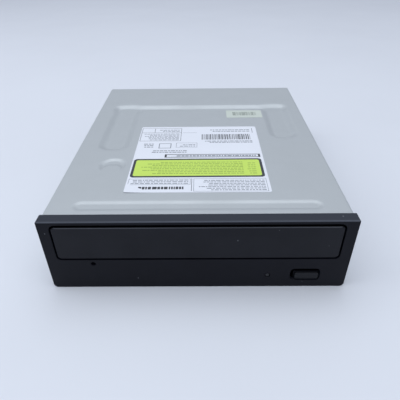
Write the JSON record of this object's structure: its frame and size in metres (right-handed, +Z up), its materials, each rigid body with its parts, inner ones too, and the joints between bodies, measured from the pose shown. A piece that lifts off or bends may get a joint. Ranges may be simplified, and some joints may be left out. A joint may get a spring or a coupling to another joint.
{
  "type": "internal optical disc drive",
  "caption": "Half-height internal optical disc drive: steel case with pressed recesses, dark bezel, sliding disc tray, tilting traverse with spindle and pickup, and a combined rear connector.",
  "frame": {"origin": "middle of the footprint at the height of the lowest face, which is the bezel's lower edge", "axes": "+X to the right seen from the front, +Y to the rear, +Z up"},
  "size_m": [0.148, 0.18, 0.0423],
  "materials": {
    "zinc_steel": "satin zinc-plated sheet",
    "front_plastic": "fine-textured black moulding",
    "frame_plastic": "black moulding",
    "tray_plastic": "black moulding",
    "gear_plastic": "natural acetal",
    "belt_rubber": "black rubber",
    "screw_steel": "plated screws",
    "ground_steel": "ground and polished steel",
    "motor_steel": "plated motor cans",
    "copper_winding": "lacquered copper",
    "turntable_plastic": "black moulding",
    "magnet_metal": "sintered magnet",
    "cast_alloy": "die-cast alloy",
    "lid_steel": "thin plated sheet",
    "lens_plastic": "black moulding",
    "lens_glass": "coated optical glass",
    "board_green": "solder mask over laminate",
    "chip_black": "moulded packages",
    "pad_grey": "soft thermal pad",
    "capacitor_can": "bare can",
    "connector_black": "glass-filled moulding",
    "contact_gold": "gold-plated contacts",
    "clear_plastic": "clear moulding",
    "ribbon_white": "flat ribbon",
    "ribbon_amber": "polyimide film",
    "label_paper": "printed label",
    "sticker_green": "pale printed sticker"
  },
  "bodies": {
    "case": {"top_cover": "zinc_steel", "bottom_cover": "zinc_steel", "cover_screws": "screw_steel", "front_bezel": "front_plastic", "loader_frame": "frame_plastic", "clamper_bridge": "zinc_steel", "bridge_screws": "screw_steel", "main_board": "board_green", "board_screws": "screw_steel", "main_chips": "chip_black", "thermal_pads": "pad_grey", "capacitors": "capacitor_can", "rear_connector": "connector_black", "connector_contacts": "contact_gold", "front_board": "board_green", "eject_switch": "chip_black", "status_light": "clear_plastic", "light_pipe": "clear_plastic", "ribbon_sockets": "connector_black", "front_ribbon": "ribbon_white", "loading_motor": "motor_steel", "drive_belt": "belt_rubber", "rating_label": "label_paper", "serial_label": "sticker_green", "pickup_ribbon": "ribbon_amber"},
    "tray": {"disc_tray": "tray_plastic", "tray_front": "front_plastic"},
    "drive_gear": {"drive_gear": "gear_plastic"},
    "idler_gear": {"idler_gear": "gear_plastic"},
    "belt_gear": {"belt_gear": "gear_plastic"},
    "motor_rotor": {"motor_pulley": "gear_plastic", "motor_shaft": "ground_steel"},
    "cam_slider": {"cam_slider": "gear_plastic"},
    "traverse": {"pivot_frame": "frame_plastic", "damper_bushes": "belt_rubber", "damper_screws": "screw_steel", "traverse_base": "zinc_steel", "spindle_motor_base": "motor_steel", "spindle_stator": "copper_winding", "guide_rods": "ground_steel", "rod_clamps": "motor_steel", "feed_motor": "motor_steel", "screw_bearing": "gear_plastic"},
    "spindle": {"spindle_rotor": "motor_steel", "spindle_shaft": "ground_steel", "turntable": "turntable_plastic", "turntable_ring": "belt_rubber", "hub_magnet": "magnet_metal"},
    "feed_screw": {"lead_screw": "ground_steel"},
    "pickup": {"pickup_base": "cast_alloy", "lead_nut": "gear_plastic", "pickup_cover": "lid_steel", "laser_module": "cast_alloy", "lens_yoke": "cast_alloy"},
    "lens": {"lens_holder": "lens_plastic", "lenses": "lens_glass"},
    "clamper": {"clamper_plate": "frame_plastic", "clamper_yoke": "motor_steel"},
    "eject_button": {"eject_button": "front_plastic", "switch_plunger": "chip_black"}
  },
  "joints": [
    {"name": "tray_slide", "type": "slide", "parent": "case", "child": "tray", "axis": [0, -1, 0], "range_m": [0, 0.14]},
    {"name": "drive_gear_spin", "type": "hinge", "parent": "case", "child": "drive_gear", "pos_m": [-0.042, -0.063, 0.022], "axis": [0, 0, 1], "range_deg": [0, 836]},
    {"name": "idler_gear_spin", "type": "hinge", "parent": "case", "child": "idler_gear", "pos_m": [-0.0268, -0.063, 0.02], "axis": [0, 0, 1], "range_deg": [-1433, 0]},
    {"name": "belt_gear_spin", "type": "hinge", "parent": "case", "child": "belt_gear", "pos_m": [-0.01, -0.063, 0.017], "axis": [0, 0, 1], "range_deg": [0, 4298]},
    {"name": "motor_spin", "type": "hinge", "parent": "case", "child": "motor_rotor", "pos_m": [0.02, -0.063, 0.016], "axis": [0, 0, 1], "range_deg": [0, 17190]},
    {"name": "traverse_tilt", "type": "hinge", "parent": "case", "child": "traverse", "pos_m": [0, 0.073, 0.014], "axis": [1, 0, 0], "range_deg": [0, 2.6], "deforming": ["pickup_ribbon"]},
    {"name": "cam_slide", "type": "slide", "parent": "case", "child": "cam_slider", "axis": [1, 0, 0], "range_m": [0, 0.016]},
    {"name": "spindle_spin", "type": "hinge", "parent": "traverse", "child": "spindle", "pos_m": [0, -0.016, 0.02], "axis": [0, 0, 1], "continuous": true},
    {"name": "clamper_spin", "type": "hinge", "parent": "case", "child": "clamper", "pos_m": [0, -0.016, 0.033], "axis": [0, 0, 1], "continuous": true},
    {"name": "sled_slide", "type": "slide", "parent": "traverse", "child": "pickup", "axis": [0, 1, 0], "range_m": [0, 0.036], "deforming": ["pickup_ribbon"]},
    {"name": "feed_screw_spin", "type": "hinge", "parent": "traverse", "child": "feed_screw", "pos_m": [0.0342, 0.02, 0.013], "axis": [0, 1, 0], "range_deg": [0, 4321]},
    {"name": "lens_focus", "type": "slide", "parent": "pickup", "child": "lens", "axis": [0, 0, 1], "range_m": [-0.0005, 0.0005], "stiffness_N_per_m": 60},
    {"name": "eject_press", "type": "slide", "parent": "case", "child": "eject_button", "axis": [0, 1, 0], "range_m": [0, 0.0008], "stiffness_N_per_m": 600, "springref_m": -0.0008}
  ],
  "couplings": [
    {"joint": "drive_gear_spin", "follows": "tray_slide", "rad_per_m": 104.17},
    {"joint": "idler_gear_spin", "follows": "tray_slide", "rad_per_m": -178.57},
    {"joint": "belt_gear_spin", "follows": "tray_slide", "rad_per_m": 535.71},
    {"joint": "motor_spin", "follows": "tray_slide", "rad_per_m": 2142.9},
    {"joint": "cam_slide", "follows": "traverse_tilt", "m_per_rad": 0.35259},
    {"joint": "clamper_spin", "follows": "spindle_spin", "ratio": 1},
    {"joint": "feed_screw_spin", "follows": "sled_slide", "rad_per_m": 2094.4}
  ]
}
